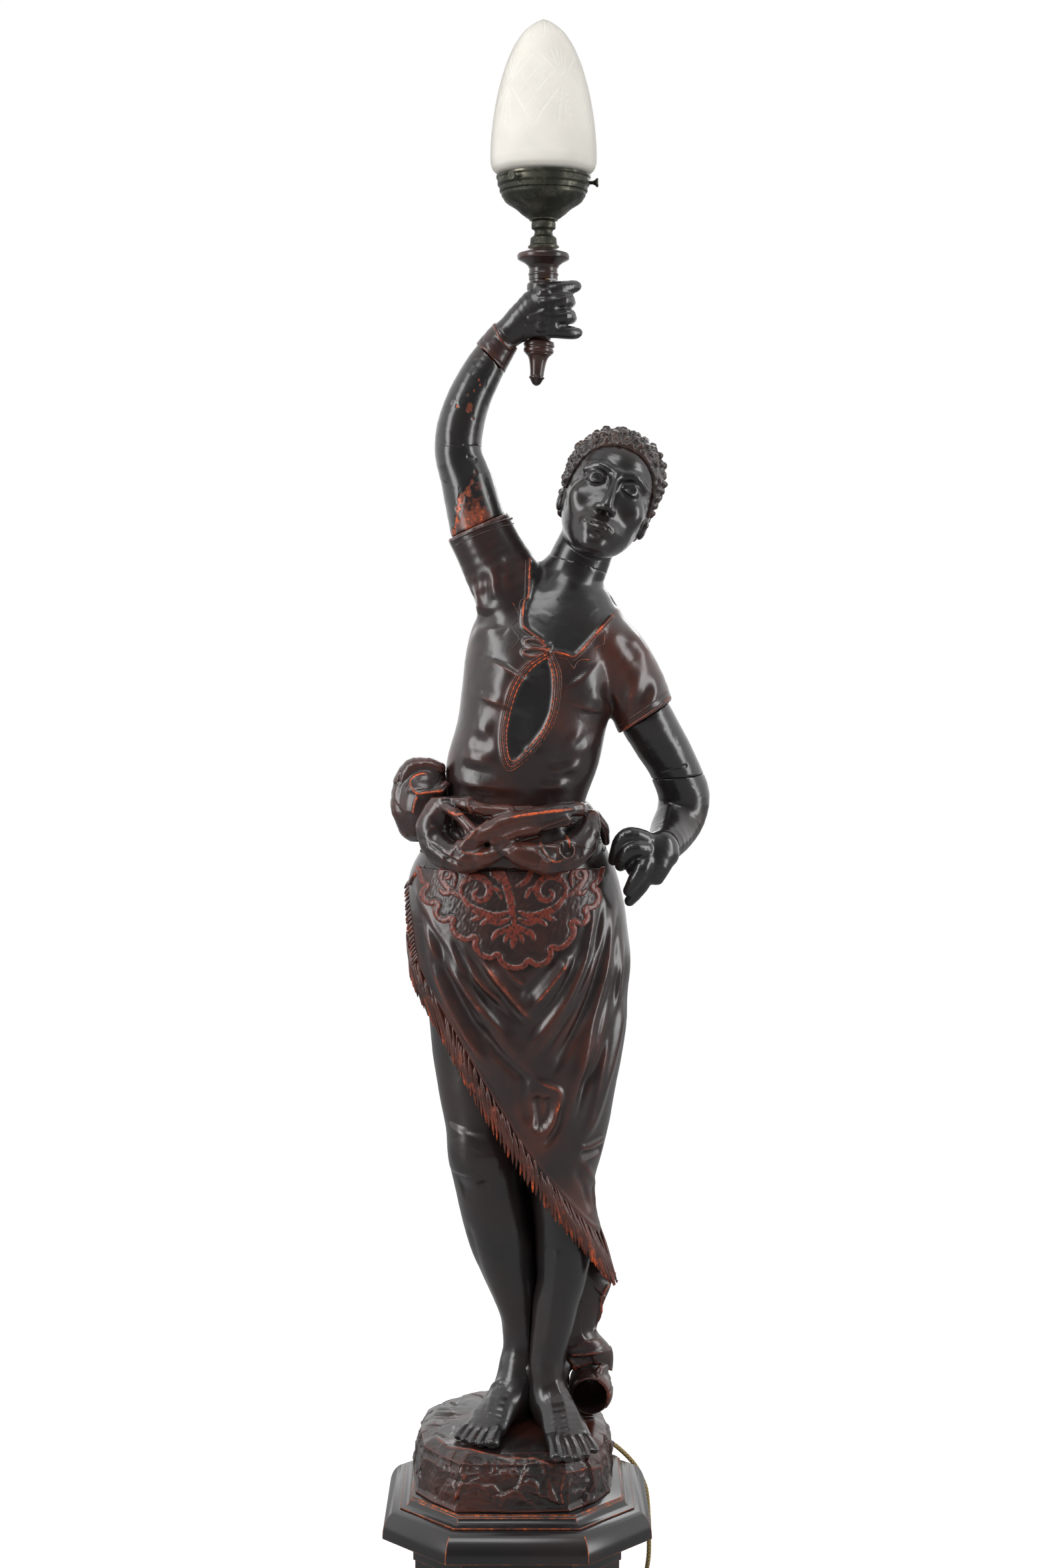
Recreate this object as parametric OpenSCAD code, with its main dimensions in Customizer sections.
// Electrified figural torchere: a carved and lacquered wood figure on a rock and a low eight-sided plinth,
// raising a turned torch with a brass gallery and a pointed cut-glass shade.
// Millimetres, +Z up. The origin is the middle of the plinth's underside and the figure faces -Y.

/* [Plinth] */
// Width of the foot moulding across its flats
foot_w = 252; // [240:1:270]
// Height of the foot moulding
foot_h = 24; // [16:1:40]
// Width of the hollow shaft across its flats
die_w = 212; // [200:1:218]
// Height of the shaft
die_h = 89; // [60:1:400]
// Thickness of the shaft's boards
die_wall = 16; // [10:1:24]
// Thickness of the board that closes the plinth below
bottom_t = 9; // [6:1:14]
// Width of the neck below the cap
neck_w = 222; // [219:1:232]
// Height of the neck
neck_h = 28; // [18:1:40]
// Width of the cap at its lower edge
cap_w = 278; // [268:1:300]
// Height of the cap's quarter round
cap_h = 29; // [20:1:40]
// Width of the moulding on the cap at its lower edge
step_w = 242; // [238:1:256]
// Width of the cap's top
top_w = 217; // [214:1:232]
// Height of the moulding on the cap
step_h = 11; // [8:1:16]
// How far the corners of the square plan are cut back
corner_cut = 50; // [40:1:60]

/* [Torch] */
// Radius of the turned cup under its disc
cup_r = 15; // [13:0.5:17]
// Radius of the cup's disc
disc_r = 27; // [22:0.5:32]
// Height of the cup
cup_h = 31; // [26:0.5:40]
// Height of the brass coupling between cup and gallery
coupling_h = 29; // [22:0.5:40]
// Radius of the coupling's waist
waist_r = 9; // [8:0.5:11]
// Radius of the grip's collars
collar_r = 16.5; // [15:0.5:19]
// Radius of the grip inside the hand
grip_r = 12; // [10:0.5:13]
// Length of the grip from the joint under the cup to the finial
grip_len = 74; // [72:0.5:80]
// Length of the finial
finial_len = 33; // [25:0.5:45]
// Lean of the grip away from the upright, in degrees
grip_lean = 4; // [0:0.5:6]
// Radius of the threaded tube up the torch
tube_r = 5; // [4:0.5:6]

/* [Gallery and shade] */
// Outer radius of the gallery's rim
rim_r = 48.3; // [47:0.1:52]
// Height of the gallery
gallery_h = 45; // [42:0.5:55]
// Wall of the gallery
gallery_wall = 1.5; // [1.2:0.1:2]
// Outer radius of the glass neck
neck_r = 41.3; // [38:0.1:42]
// Wall of the glass
glass_t = 3.5; // [2.5:0.1:4.5]
// Widest outer radius of the glass
glass_r = 54.2; // [50:0.1:58]
// Height of the glass above the gallery's rim
glass_h = 156; // [145:1:175]
// Radius of a gallery screw's shank
screw_r = 2; // [1.5:0.1:2.5]
// Radius of a gallery screw's head
screw_head_r = 4.5; // [4:0.1:6]
// Running clearance between parts that move
clearance = 0.3; // [0.25:0.05:0.4]

/* [Lampholder and bulb] */
// Radius of the lampholder's shell
shell_r = 18; // [17:0.5:20]
// Height of the lampholder
holder_h = 50; // [46:0.5:56]
// Radius of the bulb
bulb_r = 29; // [22:0.5:30]
// Height of the bulb's glass
bulb_h = 76; // [60:1:82]
// Radius of the bulb's screw cap
bulb_cap_r = 13; // [12:0.1:13.5]

/* [Joints of the figure] */
// Radius of a wooden dowel
dowel_r = 5; // [4:0.5:6]
// Length of a wooden dowel
dowel_len = 36; // [26:1:44]
// Gap of a glued joint
glue_gap = 0.3; // [0.2:0.05:0.4]

/* [Mains cord] */
// Diameter of the round flex
cord_d = 5; // [4:0.1:5.2]
// Middle diameter of the coil's turns
coil_d = 60; // [56:1:64]
// Step between neighbouring turns and layers
coil_step = 5.5; // [5.5:0.1:6]
// Turns in the coil
coil_turns = 7; // [5:2:9]
// Width of the coil's tie
tie_w = 8; // [6:0.5:12]
// Thickness of the tie
tie_t = 1; // [0.8:0.1:1.2]
// Length of the plug's body
plug_len = 36; // [30:1:42]
// Width of the plug's body
plug_w = 26; // [22:1:30]

/* [Hidden] */
$fn = 48;

// Heights of the plinth's pieces, each standing on the one below
die_z = foot_h;
neck_z = die_z + die_h;
cap_z = neck_z + neck_h;
step_z = cap_z + cap_h;
top_z = step_z + step_h;

// Heights above the torch's lower joint
coupling_z = cup_h;
gallery_z = coupling_z + coupling_h;
seat_z = gallery_z + gallery_h - 17;
rim_z = gallery_z + gallery_h;
screw_z = gallery_z + gallery_h - 8;
screw_angles = [234, 354, 114];
tip_gap = clearance;
screw_tip = neck_r + tip_gap;
head_at = rim_r + 2.4;
holder_z = gallery_z + 3;
bulb_z = holder_z + holder_h + 1;

// Hem of the skirt: a slanting joint through this point, turned about Y and then leaned to the back
hem_at = [-93, 0, 515];
hem_tilt = 57;
hem_back = 8;
waist_z = 687;

// Joint planes of the blocks: a point, and the turn about Y of the limb's direction there
right_hem = [[-40, 0, 1001], -24];
right_elbow = [[-61, 0, 1081], 0];
cuff_low = [[-28, -1, 1172], 47];
cuff_high = [[-12.5, -3, 1194], 49];
left_hem = [[132, 4, 804], 148];
left_elbow = [[168, 26, 741], 175];
neck_joint = [[63, 0, 962], 17];

// Cross-sections of the body, from the side outlines: [z, middle x, middle y, half width, half depth]
skirt_line = [[185, 52, 8, 52, 44], [211, 48, 6, 58, 52], [245, 33.5, 4, 58.5, 56], [279, 23.5, 2, 61.5, 60],
    [313, 15, 0, 65, 64], [347, 13, -2, 75, 68], [381, 13, -3, 83, 72], [415, 12, -3, 90, 75],
    [449, 12.5, -2, 96.5, 78], [483, 13, -1, 101, 80], [516, 7, 0, 108, 82], [550, 4, 0, 114, 83],
    [584, 0, 0, 115, 82], [618, -3, 0, 113, 79], [654, -4, 0, 103, 72], [700, -1, 0, 76, 54]];
torso_line = [[660, -2, 1, 66, 46], [687, -2, 0, 70, 50], [718, -1, -1, 72, 52], [757, 6, -2, 79, 56],
    [800, 16, -2, 78, 59], [834, 24, -2, 81, 60], [869, 29, -1, 82, 58], [904, 33, 0, 77, 50],
    [929, 38, 1, 59, 42], [948, 50, 1, 38, 33], [972, 64, 1, 29, 27]];
sash_line = [[646, -3, 0, 84, 66], [652, -4, 0, 98, 78], [664, -4, 0, 100, 82], [680, -3, 0, 98, 80],
    [696, -2, -1, 91, 72], [709, -1, -1, 84, 64], [718, -1, -1, 76, 56]];
knot_line = [[675, -102, -4, 9, 12], [684, -100, -4, 22, 25], [700, -99, -4, 27, 31], [720, -98, -4, 28, 33],
    [740, -95, -4, 25, 29], [754, -91, -4, 18, 20], [762, -88, -4, 6, 8]];
tail_line = [[292, 40, 44, 46, 26], [240, 46, 42, 50, 26], [211, 54, 40, 50, 26], [192, 54, 38, 48, 25],
    [165, 53, 38, 38, 23], [147, 52, 38, 34, 22], [126, 60, 40, 42, 24], [100, 60, 42, 42, 25],
    [76, 57, 42, 38, 24], [48, 54, 42, 32, 22]];
right_leg_line = [[545, -44, 2, 49, 53], [500, -46, 0, 47, 52], [432, -42, -8, 43, 46], [380, -37, -16, 38, 40],
    [349, -34, -20, 37.5, 38], [319, -31, -14, 35.5, 36], [289, -25, -4, 35, 38], [249, -17, 4, 34, 37],
    [209, -7, 9, 28, 30], [169, 2, 12, 21, 24], [141, 5, 12, 20, 22], [119, 3, 10, 22, 25],
    [94, -1, 8, 20, 28], [62, -1, 10, 15, 24]];
left_leg_line = [[400, 40, -2, 36, 40], [339, 44, -2, 36, 41], [299, 47, -3, 34, 39], [259, 49, -4, 31, 36],
    [219, 47, -5, 27, 32], [189, 41, -6, 25, 28], [159, 36, -7, 22, 25], [134, 32, -8, 19.5, 22],
    [114, 31, -8, 19.5, 23], [89, 32, -8, 19, 23], [60, 33, -6, 15, 20]];
// Cross-sections of the feet, from heel to toes: [x, y, z, half width, half height]
right_foot_line = [[16, 44, 78, 10, 9], [14, 36, 79, 15, 14], [6, 20, 86, 19, 22], [-6, 0, 88, 22, 23],
    [-20, -22, 79, 26, 17], [-34, -42, 72, 29, 12], [-41, -52, 68, 27, 9], [-46, -60, 66, 18, 5]];
left_foot_line = [[30, 36, 74, 9, 9], [30, 28, 76, 14, 14], [32, 8, 84, 17, 22], [36, -14, 84, 20, 22],
    [43, -38, 75, 25, 18], [50, -58, 66, 29, 12], [55, -74, 60, 28, 8], [57, -84, 57, 20, 5]];
// Cross-sections of the arms along their run: [x, y, z, half width seen from the front, half depth]
right_sleeve_line = [[16, 2, 868, 40, 42], [4, 2, 912, 43, 44], [-12, 1, 946, 39, 41], [-28, 0, 977, 35, 37],
    [-40, 0, 1001, 34.5, 35], [-51, 0, 1025, 34, 34]];
right_arm_line = [[-30, 0, 979, 31, 31], [-40, 0, 1001, 29.5, 30], [-52, 0, 1048, 26.5, 28],
    [-60, 0, 1075, 24.5, 27], [-59, 0, 1100, 24, 26], [-50, 0, 1129, 22.5, 25], [-36, -1, 1157, 20.5, 22],
    [-26, -1, 1174, 18.5, 20], [-12, -3, 1194, 16, 17], [0, -6, 1205, 16, 16]];
// The torch stands on this joint over the raised wrist, measured from the cap's top
wrist_to_torch = [27, 6, 46];
wrist = right_arm_line[len(right_arm_line) - 1];
torch_at = [wrist[0], wrist[1], wrist[2]] + wrist_to_torch;
left_sleeve_line = [[58, 0, 897, 34, 44], [88, 0, 877, 37, 42], [113, 1, 845, 36, 38], [128, 3, 816, 33, 35],
    [133, 4, 802, 32, 34], [140, 5, 790, 31.5, 33]];
left_arm_line = [[120, 3, 830, 27, 29], [133, 4, 804, 28, 29], [149, 12, 777, 27, 27], [160, 19, 758, 26, 26],
    [168, 26, 741, 26, 26], [175, 33, 720, 27, 26], [172, 30, 700, 26, 25], [163, 12, 685, 24, 22],
    [155, -14, 676, 20, 19], [147, -36, 670, 17, 15]];
left_wrist = [[149, -31, 671], 90];
left_hand_line = [[152, -24, 673, 16, 15], [146, -37, 668, 18, 15], [135, -43, 658, 23, 15],
    [123, -43, 649, 28, 15], [112, -41, 641, 30, 15], [103, -39, 635, 24, 12]];
// Cross-sections of the raised hand's palm and of each finger, seen from the torch's joint
palm_line = [[-44, -6, -61, 15.5, 15.5], [-32, -10, -52, 16, 14], [-18, -16, -42, 20, 13], [-5, -20, -36, 26, 12],
    [6, -21, -34, 27, 11]];
index_line = [[-2, -21, -16, 7.5, 7.5], [12, -20, -12, 7.5, 7.5], [23, -15, -11, 7, 7], [32, -10, -9, 6, 6],
    [35, -9, -8, 3, 3]];
middle_line = [[-2, -21, -27, 7.5, 7.5], [12, -22, -25, 8, 8], [22, -18, -23, 8, 8], [26, -6, -22, 7.5, 7.5],
    [22, 10, -22, 7, 7], [12, 18, -23, 6, 6]];
ring_line = [[-2, -21, -40, 7.5, 7.5], [12, -22, -40, 8, 8], [23, -18, -39, 8, 8], [27, -6, -38, 7.5, 7.5],
    [23, 10, -37, 7, 7], [12, 18, -38, 6, 6]];
little_line = [[-4, -20, -52, 7, 7], [12, -20, -54, 7, 7], [25, -16, -55, 6.5, 6.5], [34, -12, -55, 5.5, 5.5],
    [37, -11, -54, 3, 3]];
thumb_line = [[-30, 0, -48, 9, 9], [-18, 14, -38, 8.5, 8.5], [-4, 21, -28, 8, 8], [10, 20, -12, 7, 7],
    [14, 19, -8, 4, 4]];
// Cross-sections of the skull from chin to crown, in the head's own frame: [z, middle y, half width, half depth]
skull_line = [[-73, -36, 9, 10], [-67, -30, 20, 24], [-49, -16, 33, 42], [-25, -4, 41, 52], [2, 0, 45, 57],
    [24, 2, 46, 59], [42, 3, 39, 50], [54, 3, 26, 34], [61, 3, 6, 8]];
head_at_neck = [95, -2, 1034];
head_tilt = 20;
head_back = 14;
neck_line = [[52, 2, 936, 29, 28], [63, 0, 962, 29, 27], [74, 0, 988, 28, 27], [84, 2, 1014, 28, 30],
    [91, 2, 1036, 25, 28]];
// Corners of the rock's foot, and its levels: [z, share of the plan, rise towards the back]
rock_plan = [[-64, -103], [-5, -106], [54, -103], [80, -76], [97, -46], [101, 0], [99, 40], [84, 70], [62, 92],
    [4, 98], [-50, 96], [-80, 76], [-104, 50], [-110, 0], [-106, -50], [-87, -78]];
rock_levels = [[0, 1, 0], [18, 1.01, 0], [40, 0.985, 2], [53, 0.93, 5], [60, 0.8, 8], [63, 0.45, 8], [63, 0.02, 8]];
// Scalloped edge of the apron, seen from the front: [x, z] where two scallops meet
apron_points = [[-95, 652], [-95, 634], [-83, 616], [-67, 601], [-44, 583], [-20, 566], [12, 560], [36, 573],
    [58, 598], [72, 611], [80, 634], [82, 652]];

// Where the cord leaves the rock, and the points that it then follows to its coil, chosen by hand
gland_dir = [0.75, 0.45, -0.5];
gland_at = [86, 68, 199];
gland_len = 24;
cord_points = [[108, 81, 184], [113, 83, 179], [119, 84, 173], [126, 85, 165], [132, 86, 156], [137, 88, 145],
    [141, 89, 134], [143, 90, 120], [144, 91, 105], [145, 92, 90], [145, 93, 75], [145, 94, 60],
    [144, 96, 47], [142, 100, 34], [138, 107, 23], [132, 115, 14], [124, 124, 8], [115, 132, 4],
    [104, 138, 3], [92, 141, 3], [80, 142, 3], [66, 142, 3], [52, 142, 3], [38, 142, 3], [26, 142, 3]];
coil_at = [10, 182];
coil_half = coil_turns / 2;
coil_in_r = coil_d / 2 - coil_half / 2 * coil_step;
coil_out_r = coil_d / 2 + coil_half / 2 * coil_step;
coil_z = tie_t + cord_d / 2;
plug_h = 2 * (coil_z + coil_step);

// Curves through hand-set stations
function unit(v) = v / norm(v);
function spline(s, i, t) =
    let (a = s[max(i - 1, 0)], b = s[i], c = s[i + 1], d = s[min(i + 2, len(s) - 1)])
    0.5 * (2 * b + t * (c - a) + t * t * (2 * a - 5 * b + 4 * c - d) + t * t * t * (3 * b - a - 3 * c + d));
function smooth(s, k) = concat([for (i = [0 : len(s) - 2]) for (j = [0 : k - 1]) spline(s, i, j / k)],
    [s[len(s) - 1]]);
function head_of(s) = [for (row = s) [row[0], row[1], row[2]]];
// Direction of a run of points at one of them
function run_dir(p, i) = unit(p[min(i + 1, len(p) - 1)] - p[max(i - 1, 0)]);
// Corners of one elliptical cross-section round a point, across directions u and v
function section(c, u, v, a, b, n) =
    [for (i = [0 : n - 1]) c + a * cos(360 * i / n) * u + b * sin(360 * i / n) * v];
// Triangles between rings of n corners, closed at both ends
function ring_faces(m, n) = concat([[for (i = [0 : n - 1]) i]], [[for (i = [0 : n - 1]) m * n - 1 - i]],
    [for (k = [0 : m - 2]) for (i = [0 : n - 1]) [k * n + i, (k + 1) * n + i, (k + 1) * n + (i + 1) % n]],
    [for (k = [0 : m - 2]) for (i = [0 : n - 1])
        [k * n + i, (k + 1) * n + (i + 1) % n, k * n + (i + 1) % n]]);
function joined(rings) = [for (r = rings) for (p = r) p];

// A solid through upright stations, grown outwards where a neighbour is cut to fit it, with soft folds on its back
module body(line, n = 24, k = 1, grow = 0, folds = 0, fold_depth = 0) {
    rows = smooth(line, k);
    rings = [for (s = rows) [for (i = [0 : n - 1])
        let (a = 360 * i / n, f = 1 + fold_depth * max(sin(a), 0) * cos(folds * a + 0.5 * s[0]))
        [s[1] + (s[3] * f + grow) * cos(a), s[2] + (s[4] * f + grow) * sin(a), s[0]]]];
    order = rows[0][0] < rows[len(rows) - 1][0] ? rings : [for (i = [len(rings) - 1 : -1 : 0]) rings[i]];
    polyhedron(joined(order), ring_faces(len(order), n));
}

// A solid swept along stations, whose sections stand square to the run
module limb(line, n = 16, k = 2, grow = 0, side = [0, 1, 0]) {
    rows = smooth(line, k);
    mids = head_of(rows);
    rings = [for (i = [0 : len(rows) - 1])
        let (t = run_dir(mids, i), u = unit(cross(side, t)), v = cross(t, u))
        section(mids[i], u, v, rows[i][3] + grow, rows[i][4] + grow, n)];
    polyhedron(joined(rings), ring_faces(len(rings), n));
}

// A round tube along points
module tube(points, d, n) {
    rings = [for (i = [0 : len(points) - 1])
        let (t = run_dir(points, i), u = unit(cross(abs(t[2]) > 0.9 ? [0, 1, 0] : [0, 0, 1], t)), v = cross(t, u))
        section(points[i], u, v, d / 2, d / 2, n)];
    polyhedron(joined(rings), ring_faces(len(rings), n));
}

// Everything on one side of a joint plane; side 1 lies ahead of it, -1 behind, with half the glue gap
module beyond(joint, side, size = 360) {
    translate(joint[0]) rotate([0, joint[1], 0])
        translate([-size / 2, -size / 2, side > 0 ? glue_gap / 2 : -size - glue_gap / 2]) cube(size);
}
module hem_side(side) {
    translate(hem_at) rotate([hem_back, hem_tilt, 0])
        translate([-700, -700, side > 0 ? glue_gap / 2 : -1400 - glue_gap / 2]) cube(1400);
}

// One block of the carving as a closed shape
module carved() resize([0, 0, 0]) children();
// The figure stands on the cap
module on_cap() translate([0, 0, top_z]) children();
module at_torch() on_cap() translate(torch_at) children();
module leaned() rotate([0, grip_lean, 0]) children();

// Plan of the plinth: a square with its corners cut off
module plan(w, cut = corner_cut) {
    h = w / 2;
    e = h - cut;
    polygon([[e, -h], [h, -e], [h, e], [e, h], [-e, h], [-h, e], [-h, -e], [-e, -h]]);
}
module plan_block(w, h, cut = corner_cut) linear_extrude(h) plan(w, cut);
// A moulding round the plinth through levels of [z, half width, corner cut]
module moulding(levels) {
    rings = [for (l = levels) let (h = l[1], e = l[1] - l[2])
        [for (p = [[e, -h], [h, -e], [h, e], [e, h], [-e, h], [-h, e], [-h, -e], [-e, -h]]) [p[0], p[1], l[0]]]];
    polyhedron(joined(rings), ring_faces(len(rings), 8));
}
cap_cut = 67;
step_cut = 57;
top_cut = 49.5;
foot_round = 16;
base_screw_r = 3;
base_screw_at = [[-50, 30], [50, 30], [0, -50]];
module base_screw_holes(z0, z1, r) {
    for (p = base_screw_at) translate([p[0], p[1], z0]) cylinder(r = r, h = z1 - z0);
}

module foot_moulding() color([0.06, 0.055, 0.055]) difference() {
    union() {
        plan_block(foot_w, foot_h - foot_round / 2, corner_cut + 8);
        translate([0, 0, foot_h - foot_round / 2]) plan_block((foot_w + die_w) / 2, foot_round / 2, corner_cut + 4);
    }
    translate([0, 0, -1]) plan_block(die_w - 2 * die_wall, foot_h + 2, corner_cut - die_wall / 2);
}
module bottom_board() color([0.32, 0.2, 0.12])
    plan_block(die_w - 2 * die_wall - 2 * glue_gap, bottom_t, corner_cut - die_wall / 2);
module plinth_die() color([0.06, 0.05, 0.05]) translate([0, 0, die_z]) difference() {
    plan_block(die_w, die_h);
    translate([0, 0, -1]) plan_block(die_w - 2 * die_wall, die_h + 2, corner_cut - die_wall / 2);
}
module plinth_neck() color([0.05, 0.05, 0.05]) translate([0, 0, neck_z]) difference() {
    plan_block(neck_w, neck_h, corner_cut + 2);
    base_screw_holes(-1, neck_h + 1, base_screw_r + 3.5);
}
module plinth_cap() color([0.05, 0.05, 0.055]) translate([0, 0, cap_z]) difference() {
    moulding(concat([[0, cap_w / 2, cap_cut], [3, cap_w / 2, cap_cut]],
        [for (a = [15 : 15 : 75]) [3 + (cap_h - 3) * sin(a),
            step_w / 2 + (cap_w - step_w) / 2 * cos(a), step_cut + (cap_cut - step_cut) * cos(a)]],
        [[cap_h, step_w / 2, step_cut]]));
    base_screw_holes(-1, cap_h + 1, base_screw_r + glue_gap);
}
module cap_moulding() color([0.05, 0.05, 0.055]) translate([0, 0, step_z]) difference() {
    moulding([for (a = [0 : 15 : 90]) [step_h * (1 - cos(a)),
        step_w / 2 - (step_w - top_w) / 2 * sin(a) - 0.5, step_cut - (step_cut - top_cut) * sin(a)]]);
    base_screw_holes(-1, step_h + 1, base_screw_r + glue_gap);
}
module base_screws() color([0.55, 0.5, 0.4]) for (p = base_screw_at) translate([p[0], p[1], cap_z]) {
    translate([0, 0, -4 - glue_gap]) cylinder(r = base_screw_r + 3, h = 4);
    translate([0, 0, -4]) cylinder(r = base_screw_r, h = cap_h + step_h + 30);
}

// The rock, grown where the feet and the drapery are cut to stand on it
module rock_form(grow = 0) {
    n = len(rock_plan);
    rings = [for (l = rock_levels) [for (p = rock_plan)
        let (s = l[1], y = p[1] * s)
        [p[0] * s * (1 + grow / 100), y * (1 + grow / 100), l[0] + l[2] * y / 100 + (l[0] > 0 ? grow : 0)]]];
    polyhedron(joined(rings), ring_faces(len(rings), n));
}
module rock_base() color([0.16, 0.09, 0.07]) on_cap() carved() difference() {
    rock_form();
    translate([0, 0, -1]) for (p = base_screw_at) translate([p[0], p[1], 0])
        cylinder(r = base_screw_r + glue_gap, h = 29, $fn = 20);
    foot_dowel_shapes(glue_gap);
    translate([0, 0, -top_z]) gland_shape(glue_gap);
}

module right_leg_form(grow = 0) {
    body(right_leg_line, n = 20, grow = grow);
    limb(right_foot_line, n = 14, k = 1, grow = grow, side = [0, 0, 1]);
}
module left_leg_form(grow = 0) {
    body(left_leg_line, n = 20, grow = grow);
    limb(left_foot_line, n = 14, k = 1, grow = grow, side = [0, 0, 1]);
}
foot_dowel_at = [[3, 8, 40], [33, -6, 36]];
foot_dowel_len = 56;
module foot_dowel_shapes(grow = 0) {
    for (p = foot_dowel_at) translate(p) translate([0, 0, -grow])
        cylinder(r = dowel_r + grow, h = foot_dowel_len + 2 * grow, $fn = grow > 0 ? 20 : 48);
}
module right_leg() color([0.05, 0.045, 0.045]) on_cap() carved() difference() {
    intersection() {
        union() right_leg_form();
        hem_side(-1);
    }
    left_leg_form(glue_gap);
    rock_form(glue_gap);
    foot_dowel_shapes(glue_gap);
}
module left_leg() color([0.05, 0.045, 0.045]) on_cap() carved() difference() {
    intersection() {
        union() left_leg_form();
        hem_side(-1);
    }
    rock_form(glue_gap);
    foot_dowel_shapes(glue_gap);
}
module foot_dowels() color([0.6, 0.45, 0.28]) on_cap() foot_dowel_shapes();

// The hanging end of the cloth behind the left leg, and the curled roll that it ends in
roll_at = [78, 4, 88];
roll_r = 26;
roll_bore = 18;
roll_len = 44;
module roll_axis() on_cap() translate(roll_at) rotate([-90, 0, 0]) children();
module drapery_tail() color([0.12, 0.06, 0.05]) carved() difference() {
    on_cap() intersection() {
        body(tail_line, n = 20);
        hem_side(-1);
    }
    on_cap() right_leg_form(glue_gap);
    on_cap() left_leg_form(glue_gap);
    on_cap() rock_form(glue_gap);
    roll_axis() translate([0, 0, -20]) cylinder(r = roll_r + glue_gap, h = roll_len + 20 + glue_gap, $fn = 28);
}
module drapery_roll() color([0.12, 0.06, 0.05]) carved() difference() {
    roll_axis() cylinder(r = roll_r, h = roll_len, $fn = 28);
    roll_axis() translate([0, 0, -1]) cylinder(r = roll_bore, h = roll_len - 8, $fn = 28);
    on_cap() left_leg_form(glue_gap);
    on_cap() rock_form(glue_gap);
}

skirt_folds = 11;
skirt_fold_depth = 0.045;
module skirt_form(grow = 0) body(skirt_line, n = 44, grow = grow, folds = skirt_folds,
    fold_depth = skirt_fold_depth);
// Crests of the folds that are gathered up to the front: x, y, z, half width, half depth
front_folds = [
    [[-92, -48, 604, 5, 2], [-80, -54, 553, 9, 5], [-60, -61, 502, 9, 5], [-31, -71, 451, 5, 2]],
    [[-73, -63, 586, 5, 2], [-47, -71, 531, 9, 5], [-17, -76, 484, 9, 5], [9, -79, 457, 5, 2]],
    [[-30, -79, 556, 4, 2], [-8, -80, 532, 8, 5], [20, -80, 502, 5, 2]],
    [[55, -73, 567, 4, 2], [36, -78, 541, 8, 5], [16, -81, 513, 5, 2]],
    [[83, -56, 586, 5, 2], [65, -69, 538, 9, 5], [39, -77, 497, 9, 5], [12, -79, 456, 5, 2]],
    [[98, -43, 578, 5, 2], [89, -53, 517, 9, 5], [70, -64, 457, 9, 5], [50, -71, 426, 5, 2]],
    [[111, -26, 541, 5, 2], [105, -32, 489, 9, 5], [90, -43, 428, 9, 5], [74, -52, 387, 8, 5], [49, -65, 362, 4, 2]]];
module torso_form(grow = 0) {
    body(torso_line, n = 28, grow = grow);
    limb(right_sleeve_line, n = 20, k = 1, grow = grow);
    limb(left_sleeve_line, n = 20, k = 1, grow = grow);
}
module waist_half(side) translate([-300, -300, waist_z + (side > 0 ? glue_gap / 2 : -700 - glue_gap / 2)])
    cube([600, 600, 700]);
module skirt() color([0.14, 0.07, 0.055]) on_cap() carved() difference() {
    intersection() {
        union() {
            skirt_form();
            for (fold = front_folds) limb(fold, n = 8, k = 1);
        }
        hem_side(1);
        waist_half(-1);
    }
    joint_dowel_shapes(glue_gap);
}
apron_t = 4;
scallop_r = 13;
module apron_outline() {
    polygon([for (p = apron_points) p]);
    for (i = [1 : len(apron_points) - 3]) {
        mid = (apron_points[i] + apron_points[i + 1]) / 2;
        translate(mid) circle(r = scallop_r, $fn = 16);
    }
}
module apron_panel() color([0.22, 0.08, 0.05]) on_cap() carved() difference() {
    intersection() {
        skirt_form(apron_t);
        translate([0, -10, 0]) rotate([90, 0, 0]) linear_extrude(200) apron_outline();
    }
    skirt_form(glue_gap);
    sash_form(glue_gap);
    knot_form(glue_gap);
}
module sash_form(grow = 0) body(sash_line, n = 36, grow = grow, folds = 7, fold_depth = 0.025);
module knot_form(grow = 0) body(knot_line, n = 18, grow = grow);
module waist_sash() color([0.13, 0.06, 0.045]) on_cap() carved() difference() {
    sash_form();
    torso_form(glue_gap);
    skirt_form(glue_gap);
}
module side_knot() color([0.13, 0.06, 0.045]) on_cap() carved() difference() {
    knot_form();
    sash_form(glue_gap);
    torso_form(glue_gap);
    skirt_form(glue_gap);
}
module torso() color([0.12, 0.06, 0.05]) on_cap() carved() difference() {
    union() {
        intersection() {
            body(torso_line, n = 28);
            waist_half(1);
            beyond(neck_joint, -1, 800);
        }
        intersection() {
            limb(right_sleeve_line, n = 20, k = 1);
            beyond(right_hem, -1);
        }
        intersection() {
            limb(left_sleeve_line, n = 20, k = 1);
            beyond(left_hem, -1);
        }
    }
    joint_dowel_shapes(glue_gap);
}

// The skull in its own frame, tilted to its place over the neck
module head_frame() translate(head_at_neck) rotate([0, head_tilt, 0]) rotate([-head_back, 0, 0]) children();
crown_z = skull_line[len(skull_line) - 1][0];
module skull(grow = 0) body([for (s = skull_line) [s[0] + grow * max(s[0], 0) / crown_z, 0, s[1], s[2], s[3]]],
    n = 20, grow = grow);
ear_r = 11;
ear_z = -22;
module head() color([0.05, 0.045, 0.045]) on_cap() carved() difference() {
    union() {
        head_frame() skull();
        head_frame() for (x = [-1, 1]) translate([x * 44, 4, ear_z]) scale([0.45, 0.8, 1.3])
            sphere(r = ear_r, $fn = 16);
        intersection() {
            limb(neck_line, n = 20, k = 1);
            beyond(neck_joint, 1);
        }
    }
    joint_dowel_shapes(glue_gap);
}
hair_t = 5;
hairline = 14;
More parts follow.
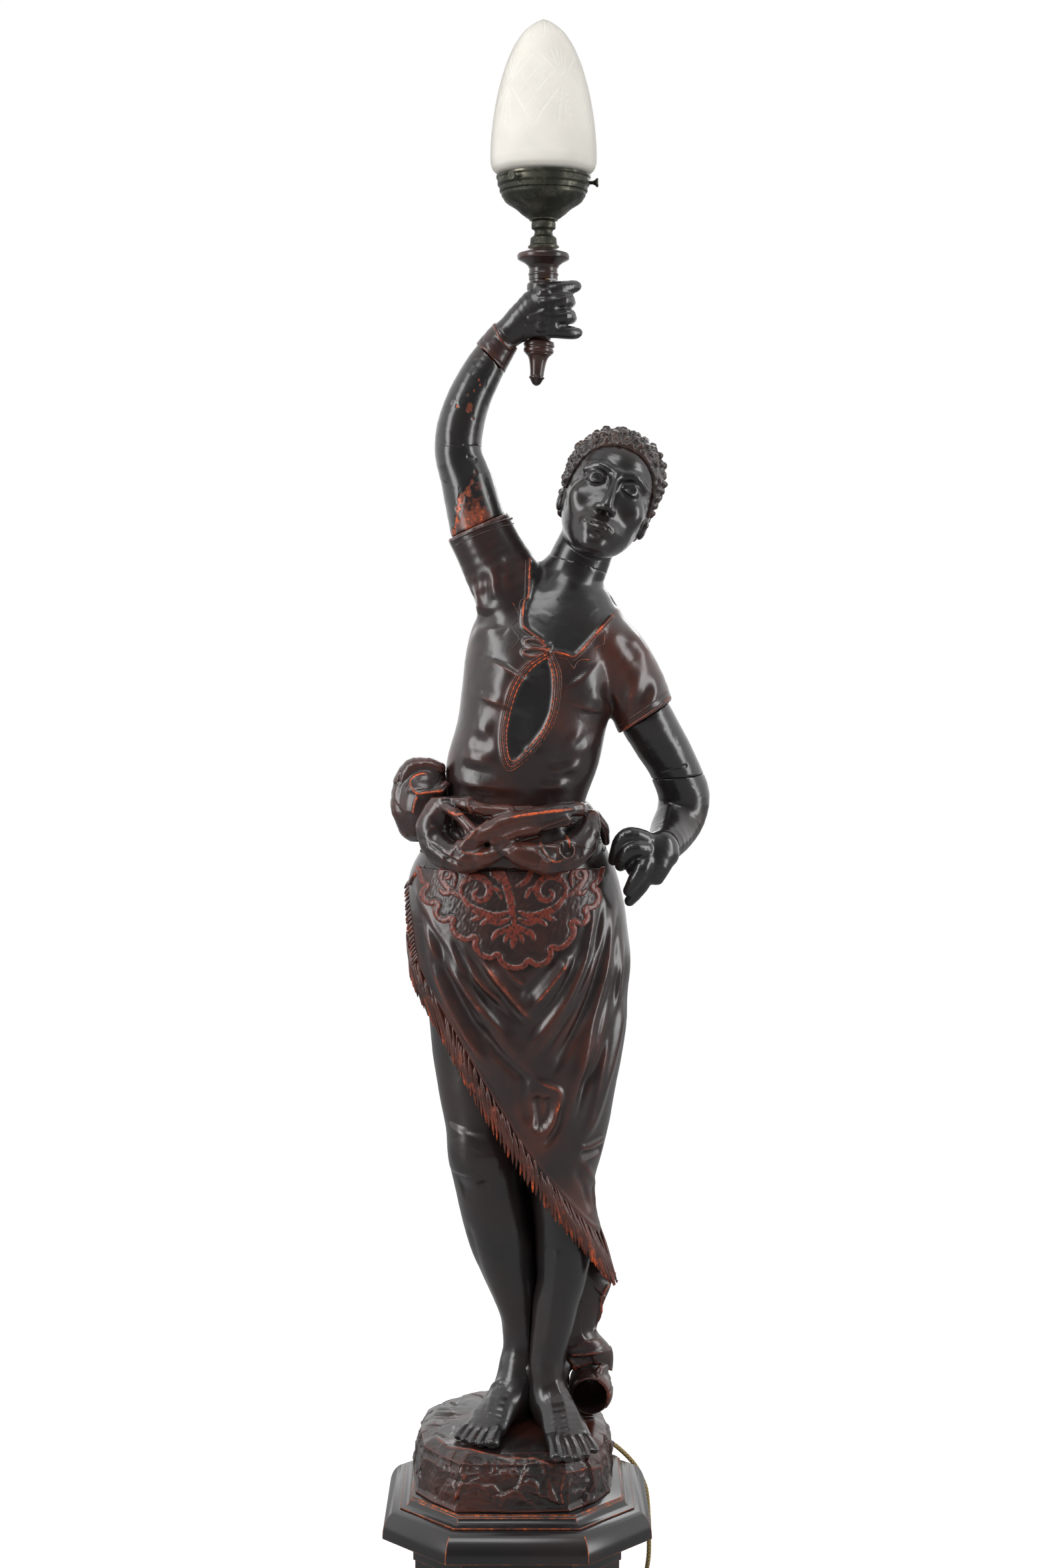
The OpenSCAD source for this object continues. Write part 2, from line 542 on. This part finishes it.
module hair_cap() color([0.07, 0.06, 0.055]) on_cap() carved() difference() {
    head_frame() skull(hair_t);
    head_frame() skull(glue_gap);
    head_frame() rotate([-45, 0, 0]) translate([-100, -100, -200 - hairline]) cube([200, 200, 200]);
    head_frame() for (x = [-1, 1]) translate([x * 44, 4, ear_z]) scale([0.45, 0.8, 1.3])
        sphere(r = ear_r + 1, $fn = 16);
    limb(neck_line, n = 20, k = 1, grow = glue_gap);
}

// Joint dowels, each along the limb through its joint
dowel_joints = [right_elbow, cuff_low, left_hem, left_elbow, right_hem, neck_joint,
    [[0, 0, waist_z], 0]];
module joint_dowel_shapes(grow = 0) {
    for (j = dowel_joints) translate(j[0]) rotate([0, j[1], 0]) translate([0, 0, -dowel_len / 2 - grow])
        cylinder(r = dowel_r + grow, h = dowel_len + 2 * grow, $fn = grow > 0 ? 20 : 48);
}
module joint_dowels() color([0.6, 0.45, 0.28]) on_cap() joint_dowel_shapes();

module arm_block(line, from, to) intersection() {
    limb(line, n = 20);
    beyond(from, 1);
    beyond(to, -1);
}
module right_upper_arm() color([0.05, 0.045, 0.045]) on_cap() carved() difference() {
    arm_block(right_arm_line, right_hem, right_elbow);
    joint_dowel_shapes(glue_gap);
}
module right_forearm() color([0.05, 0.045, 0.045]) on_cap() carved() difference() {
    arm_block(right_arm_line, right_elbow, cuff_low);
    joint_dowel_shapes(glue_gap);
}
module right_cuff() color([0.1, 0.05, 0.045]) on_cap() carved() difference() {
    intersection() {
        limb(right_arm_line, n = 20, grow = 1.5);
        beyond(cuff_low, 1);
        beyond(cuff_high, -1);
    }
    joint_dowel_shapes(glue_gap);
}
module right_hand() color([0.05, 0.045, 0.045]) carved() difference() {
    at_torch() {
        intersection() {
            limb(palm_line, n = 16, k = 1);
            translate(-torch_at) beyond(cuff_high, 1);
        }
        for (finger = [index_line, middle_line, ring_line, little_line, thumb_line])
            limb(finger, n = 10, k = 1, side = [0, 0, 1]);
    }
    grip_shape(glue_gap, 24);
    at_torch() cylinder(r = cup_r + glue_gap, h = cup_h, $fn = 24);
}
module left_upper_arm() color([0.05, 0.045, 0.045]) on_cap() carved() difference() {
    arm_block(left_arm_line, left_hem, left_elbow);
    joint_dowel_shapes(glue_gap);
}
module behind_wrist(side) translate(left_wrist[0]) rotate([left_wrist[1], 0, 0])
    translate([-200, -200, side > 0 ? glue_gap / 2 : -400 - glue_gap / 2]) cube(400);
module left_forearm() color([0.05, 0.045, 0.045]) on_cap() carved() difference() {
    intersection() {
        limb(left_arm_line, n = 20);
        beyond(left_elbow, 1);
        behind_wrist(-1);
    }
    joint_dowel_shapes(glue_gap);
}
module left_hand() color([0.05, 0.045, 0.045]) on_cap() carved() difference() {
    intersection() {
        limb(left_hand_line, n = 18, k = 2);
        behind_wrist(1);
    }
    skirt_form(glue_gap);
    sash_form(glue_gap);
}

// Turned torch below its cup: [radius, depth below the joint]
collar_h = 8;
low_collar = grip_len - 12;
module grip_shape(grow = 0, sides = 48) at_torch() leaned() rotate_extrude($fn = sides)
    polygon([[0, grow], [cup_r - 0.5 + grow, grow], [cup_r - 0.5 + grow, -4 - grow], [collar_r + grow, -4 + grow],
        [collar_r + grow, -4 - collar_h - grow], [grip_r + grow, -6 - collar_h], [grip_r + grow, -low_collar + grow],
        [collar_r - 0.5 + grow, -low_collar + grow], [collar_r - 0.5 + grow, -grip_len - grow], [0, -grip_len - grow]]);
grip_bore = tube_r + clearance;
module torch_grip() color([0.1, 0.055, 0.045]) difference() {
    intersection() {
        grip_shape();
        at_torch() translate([-50, -50, -2 * grip_len - glue_gap]) cube([100, 100, 2 * grip_len]);
    }
    at_torch() translate([0, 0, -24]) cylinder(r = grip_bore, h = 40);
    at_torch() leaned() translate([0, 0, -grip_len - 1]) cylinder(r = finial_pin_r + glue_gap, h = 11);
}
finial_pin_r = 4;
module torch_finial() color([0.1, 0.055, 0.045]) at_torch() leaned() translate([0, 0, -grip_len - glue_gap])
    rotate_extrude() polygon([[0, 9], [finial_pin_r, 9], [finial_pin_r, 0], [collar_r - 2.5, 0], [collar_r - 6, -3],
        [8.6, -7], [7.6, -12], [7, -finial_len + 9], [8, -finial_len + 8], [6, -finial_len + 7],
        [4.5, -finial_len + 3], [0, -finial_len]]);
module torch_cup() color([0.13, 0.06, 0.05]) at_torch() difference() {
    rotate_extrude() polygon([[0, 0], [cup_r, 0], [cup_r, cup_h - 20], [cup_r + 1.5, cup_h - 16],
        [cup_r + 6, cup_h - 12.5], [disc_r - 1.5, cup_h - 10.5], [disc_r, cup_h - 8], [disc_r - 0.8, cup_h - 4.5],
        [disc_r - 5, cup_h - 2.5], [cup_r + 2, cup_h], [0, cup_h]]);
    translate([0, 0, -1]) cylinder(r = grip_bore, h = cup_h + 2);
}
module torch_coupling() color([0.2, 0.19, 0.13]) at_torch() translate([0, 0, coupling_z]) difference() {
    rotate_extrude() polygon([[0, 0], [waist_r + 7, 0], [waist_r + 7, 3.5], [waist_r + 4.8, 5],
        [waist_r + 4.2, coupling_h - 19.5], [waist_r + 1, coupling_h - 16.5], [waist_r, coupling_h - 12.5],
        [waist_r + 1, coupling_h - 9.5], [waist_r + 3.4, coupling_h - 8], [waist_r + 3.4, coupling_h - 2],
        [waist_r + 2, coupling_h], [0, coupling_h]]);
    translate([0, 0, -1]) cylinder(r = grip_bore, h = coupling_h + 2);
}
tube_low = -20;
tube_top = holder_z + 9;
module threaded_tube() color([0.72, 0.58, 0.3]) at_torch() difference() {
    translate([0, 0, tube_low]) cylinder(r = tube_r, h = tube_top - tube_low);
    translate([0, 0, tube_low - 1]) cylinder(r = tube_r - 1.2, h = tube_top - tube_low + 2);
}
nut_h = 3;
nut_r = 9;
module lock_nut() color([0.72, 0.58, 0.3]) at_torch() translate([0, 0, gallery_z + gallery_wall]) difference() {
    cylinder(r = nut_r, h = holder_z - gallery_z - gallery_wall, $fn = 6);
    translate([0, 0, -1]) cylinder(r = grip_bore, h = nut_h + 4);
}

// Spun brass gallery: [radius, height] outside, and the same curve less its wall inside
ledge_w = 4.5;
ledge_z = gallery_h - 17 - clearance;
bowl_line = [[0.3, 0], [0.331, 0.04], [0.466, 0.144], [0.58, 0.256], [0.76, 0.378]];
function bowl_point(i, inward = 0, up = 0) = [bowl_line[i][0] * rim_r - inward, bowl_line[i][1] * gallery_h + up];
gallery_out = [bowl_point(0), bowl_point(1), bowl_point(2), bowl_point(3), bowl_point(4), [rim_r - 6.8, ledge_z - 5],
    [rim_r - 5.3, ledge_z - 3], [rim_r - 5.3, ledge_z], [rim_r - 3.3, ledge_z + 0.6], [rim_r - 3.3, gallery_h - 11],
    [rim_r - 1.3, gallery_h - 10], [rim_r - 1.3, gallery_h - 3.4], [rim_r, gallery_h - 2.4], [rim_r, gallery_h]];
gallery_in = [[rim_r - gallery_wall, gallery_h], [rim_r - gallery_wall, gallery_h - 2.8],
    [rim_r - 1.3 - gallery_wall, gallery_h - 3.6], [rim_r - 1.3 - gallery_wall, gallery_h - 9.6],
    [rim_r - 3.3 - gallery_wall, gallery_h - 10.6], [rim_r - 3.3 - gallery_wall, ledge_z],
    [rim_r - 3.3 - gallery_wall - ledge_w - 1.5, ledge_z], [rim_r - 3.3 - gallery_wall - ledge_w - 1.5, ledge_z - 2],
    bowl_point(4, 0.9, gallery_wall), bowl_point(3, 0.8, gallery_wall), bowl_point(2, 0.9, gallery_wall),
    [bowl_point(1)[0] - 0.8, gallery_wall], [0, gallery_wall]];
module screw_axis(i) rotate([0, 0, screw_angles[i]]) translate([0, 0, screw_z]) rotate([0, 90, 0]) children();
module gallery() color([0.14, 0.14, 0.11]) at_torch() difference() {
    translate([0, 0, gallery_z]) rotate_extrude() polygon(concat([[0, 0]], gallery_out, gallery_in));
    translate([0, 0, gallery_z - 1]) cylinder(r = grip_bore, h = 6);
    for (i = [0 : 2]) screw_axis(i) translate([0, 0, neck_r]) cylinder(r = screw_r + clearance, h = 20);
}
module screw_shank(i) color([0.2, 0.19, 0.15]) at_torch() screw_axis(i)
    translate([0, 0, screw_tip]) cylinder(r = screw_r, h = head_at - screw_tip);
module screw_head(i) color([0.2, 0.19, 0.15]) at_torch() screw_axis(i) translate([0, 0, head_at])
    rotate_extrude() polygon([[0, 0], [screw_r + 0.6, 0], [screw_r + 0.8, 1.6], [screw_head_r, 3.6],
        [screw_head_r, 4.8], [screw_head_r - 1, 5.4], [0, 5.4]]);
module screw_shank_a() screw_shank(0);
module screw_shank_b() screw_shank(1);
module screw_shank_c() screw_shank(2);
module screw_head_a() screw_head(0);
module screw_head_b() screw_head(1);
module screw_head_c() screw_head(2);

// Pointed glass shade above its neck: [radius, height over the gallery's rim]
shade_line = [[neck_r, -17], [neck_r, 0.4], [glass_r - 6, 3], [glass_r - 1.6, 7.5], [glass_r, 17],
    [glass_r - 1.4, 0.28 * glass_h], [glass_r - 5.2, 0.45 * glass_h], [glass_r - 11.2, 0.615 * glass_h],
    [glass_r - 21, 0.79 * glass_h], [glass_r - 32, glass_h - 15], [glass_r - 40, glass_h - 8.5],
    [glass_r - 47.5, glass_h - 4], [0, glass_h]];
module glass_shade() color([0.93, 0.93, 0.88, 0.55]) at_torch() translate([0, 0, rim_z]) rotate_extrude($fn = 72)
    polygon(concat(shade_line, [[0, glass_h - glass_t - 1]],
        [for (i = [len(shade_line) - 2 : -1 : 0])
            [shade_line[i][0] - glass_t, shade_line[i][1] - (i > 8 ? glass_t * 0.8 : 0)]]));

// Lampholder and bulb
module holder_base() color([0.7, 0.56, 0.28]) at_torch() translate([0, 0, holder_z]) difference() {
    rotate_extrude() polygon([[0, 0], [11, 0], [13, 4], [shell_r - 1, 14], [shell_r - 1, 18], [shell_r - 3, 18],
        [shell_r - 3, 15], [0, 11]]);
    translate([0, 0, -1]) cylinder(r = tube_r + clearance, h = 30);
}
module holder_shell() color([0.72, 0.58, 0.3]) at_torch() translate([0, 0, holder_z + 18 + glue_gap]) difference() {
    cylinder(r = shell_r, h = holder_h - 18 - glue_gap);
    translate([0, 0, -1]) cylinder(r = shell_r - 1, h = holder_h);
}
insert_r = shell_r - 1 - glue_gap;
module holder_insert() color([0.9, 0.88, 0.82]) at_torch() translate([0, 0, holder_z + 19]) difference() {
    cylinder(r = insert_r, h = holder_h - 21);
    translate([0, 0, 5]) cylinder(r = bulb_cap_r + 0.8, h = holder_h);
}
module contact_springs() color([0.8, 0.65, 0.3]) at_torch() translate([0, 0, holder_z + 24 + glue_gap]) {
    translate([-5, -2, 0]) cube([3, 4, 4]);
    translate([2, -2, 0]) cube([3, 4, 4]);
}
cap_low = holder_z + 30;
module bulb_cap() color([0.75, 0.75, 0.72]) at_torch() translate([0, 0, cap_low])
    rotate_extrude() polygon([[0, 0], [5, 0], [8, 2], [bulb_cap_r, 4], [bulb_cap_r, bulb_z - cap_low], [0, bulb_z - cap_low]]);
module bulb_glass() color([0.95, 0.95, 0.9, 0.6]) at_torch() translate([0, 0, bulb_z + glue_gap])
    rotate_extrude() polygon([[0, 0], [bulb_cap_r - 0.5, 0], [bulb_cap_r + 1.5, 6], [bulb_r - 7, 20],
        [bulb_r - 1.5, bulb_h - 44], [bulb_r, bulb_h - 31], [bulb_r - 3, bulb_h - 16], [bulb_r - 11, bulb_h - 6],
        [bulb_r - 20, bulb_h - 1], [0, bulb_h]]);
inner_flex_r = 2.2;
module inner_flex() color([0.75, 0.72, 0.6]) at_torch() translate([0, 0, tube_low + 1])
    cylinder(r = inner_flex_r, h = holder_z + 17.5 - tube_low);

// Mains cord
gland_end = gland_at + gland_len * unit(gland_dir);
module gland_shape(grow = 0) {
    angle = atan2(gland_dir[1], gland_dir[0]);
    dip = acos(unit(gland_dir)[2]);
    translate(gland_at) rotate([0, 0, angle]) rotate([0, dip, 0]) translate([0, 0, -8 - grow]) {
        cylinder(r = 5 + grow, h = 8 + 2 * grow, $fn = 32);
        translate([0, 0, 8]) cylinder(r1 = 6.5 + grow, r2 = cord_d / 2 + 0.8 + grow, h = gland_len + grow, $fn = 32);
    }
}
module cord_gland() color([0.09, 0.08, 0.07]) gland_shape();
module cord_run() color([0.55, 0.45, 0.2]) {
    start = gland_end + [for (c = unit(gland_dir)) 0.05 * c];
    way = concat([start, start + cord_d * unit(gland_dir) / 2], smooth(cord_points, 2),
        [[coil_at[0] + cord_d + 6, coil_at[1] - coil_out_r, coil_z],
            [coil_at[0] + cord_d + 0.05, coil_at[1] - coil_out_r, coil_z]]);
    tube(way, cord_d, 8);
}
function coil_point(s) =
    let (r = coil_in_r + coil_step * abs(s - coil_half), a = -90 - 360 * s,
        t = min(max((s - coil_half + 0.25) * 2, 0), 1))
    [coil_at[0] + r * cos(a), coil_at[1] + r * sin(a), coil_z + coil_step * t * t * (3 - 2 * t)];
plug_lead = 14;
coil_steps = 24 * coil_turns;
coil_way = concat([[coil_at[0] + cord_d, coil_at[1] - coil_out_r, coil_z]],
    [for (i = [0 : coil_steps]) coil_point(i / 24)],
    [[coil_at[0] - cord_d - plug_lead, coil_at[1] - coil_out_r, coil_z + coil_step]]);
coil_gap = min([for (i = [1 : coil_steps]) for (j = [i + 16 : 1 : min(i + 60, coil_steps)])
    norm(coil_way[i] - coil_way[j])]) - cord_d;
module cord_coil() color([0.55, 0.45, 0.2]) {
    echo(coil_least_gap = coil_gap);
    tube(coil_way, cord_d, 6);
}
tie_room = 1;
tie_in = coil_in_r + 0.25 * coil_step - cord_d / 2 - tie_room;
tie_out = coil_out_r + cord_d / 2 + tie_room;
module coil_tie() color([0.1, 0.1, 0.1]) translate([coil_at[0], coil_at[1], 0]) difference() {
    translate([tie_in - tie_t, -tie_w / 2, 0])
        cube([tie_out - tie_in + 2 * tie_t, tie_w, coil_step + cord_d + 2 * tie_t + 0.4]);
    translate([tie_in, -tie_w / 2 - 1, tie_t - 0.2]) cube([tie_out - tie_in, tie_w + 2, coil_step + cord_d + 0.6]);
}
plug_x = coil_at[0] - cord_d - plug_lead - 0.05;
plug_y = coil_at[1] - coil_out_r;
relief_len = 22;
pin_len = 19;
module plug_body() color([0.12, 0.1, 0.08]) translate([plug_x, plug_y, plug_h / 2]) rotate([0, -90, 0]) {
    cylinder(r1 = cord_d / 2 + 0.8, r2 = 5.5, h = relief_len);
    translate([-plug_h / 2, -plug_w / 2, relief_len]) cube([plug_h, plug_w, plug_len]);
}
module plug_pins() color([0.8, 0.8, 0.78]) for (s = [-9.5, 9.5])
    translate([plug_x - relief_len - plug_len, plug_y + s, plug_h / 2]) rotate([0, -90, 0]) cylinder(r = 2, h = pin_len);

foot_moulding();
bottom_board();
plinth_die();
plinth_neck();
plinth_cap();
cap_moulding();
base_screws();
rock_base();
right_leg();
left_leg();
foot_dowels();
drapery_tail();
drapery_roll();
skirt();
apron_panel();
waist_sash();
side_knot();
torso();
head();
hair_cap();
right_upper_arm();
right_forearm();
right_cuff();
right_hand();
left_upper_arm();
left_forearm();
left_hand();
joint_dowels();
torch_grip();
torch_finial();
torch_cup();
torch_coupling();
threaded_tube();
lock_nut();
gallery();
screw_shank_a();
screw_shank_b();
screw_shank_c();
screw_head_a();
screw_head_b();
screw_head_c();
glass_shade();
holder_base();
holder_shell();
holder_insert();
contact_springs();
bulb_cap();
bulb_glass();
inner_flex();
cord_gland();
cord_run();
cord_coil();
coil_tie();
plug_body();
plug_pins();
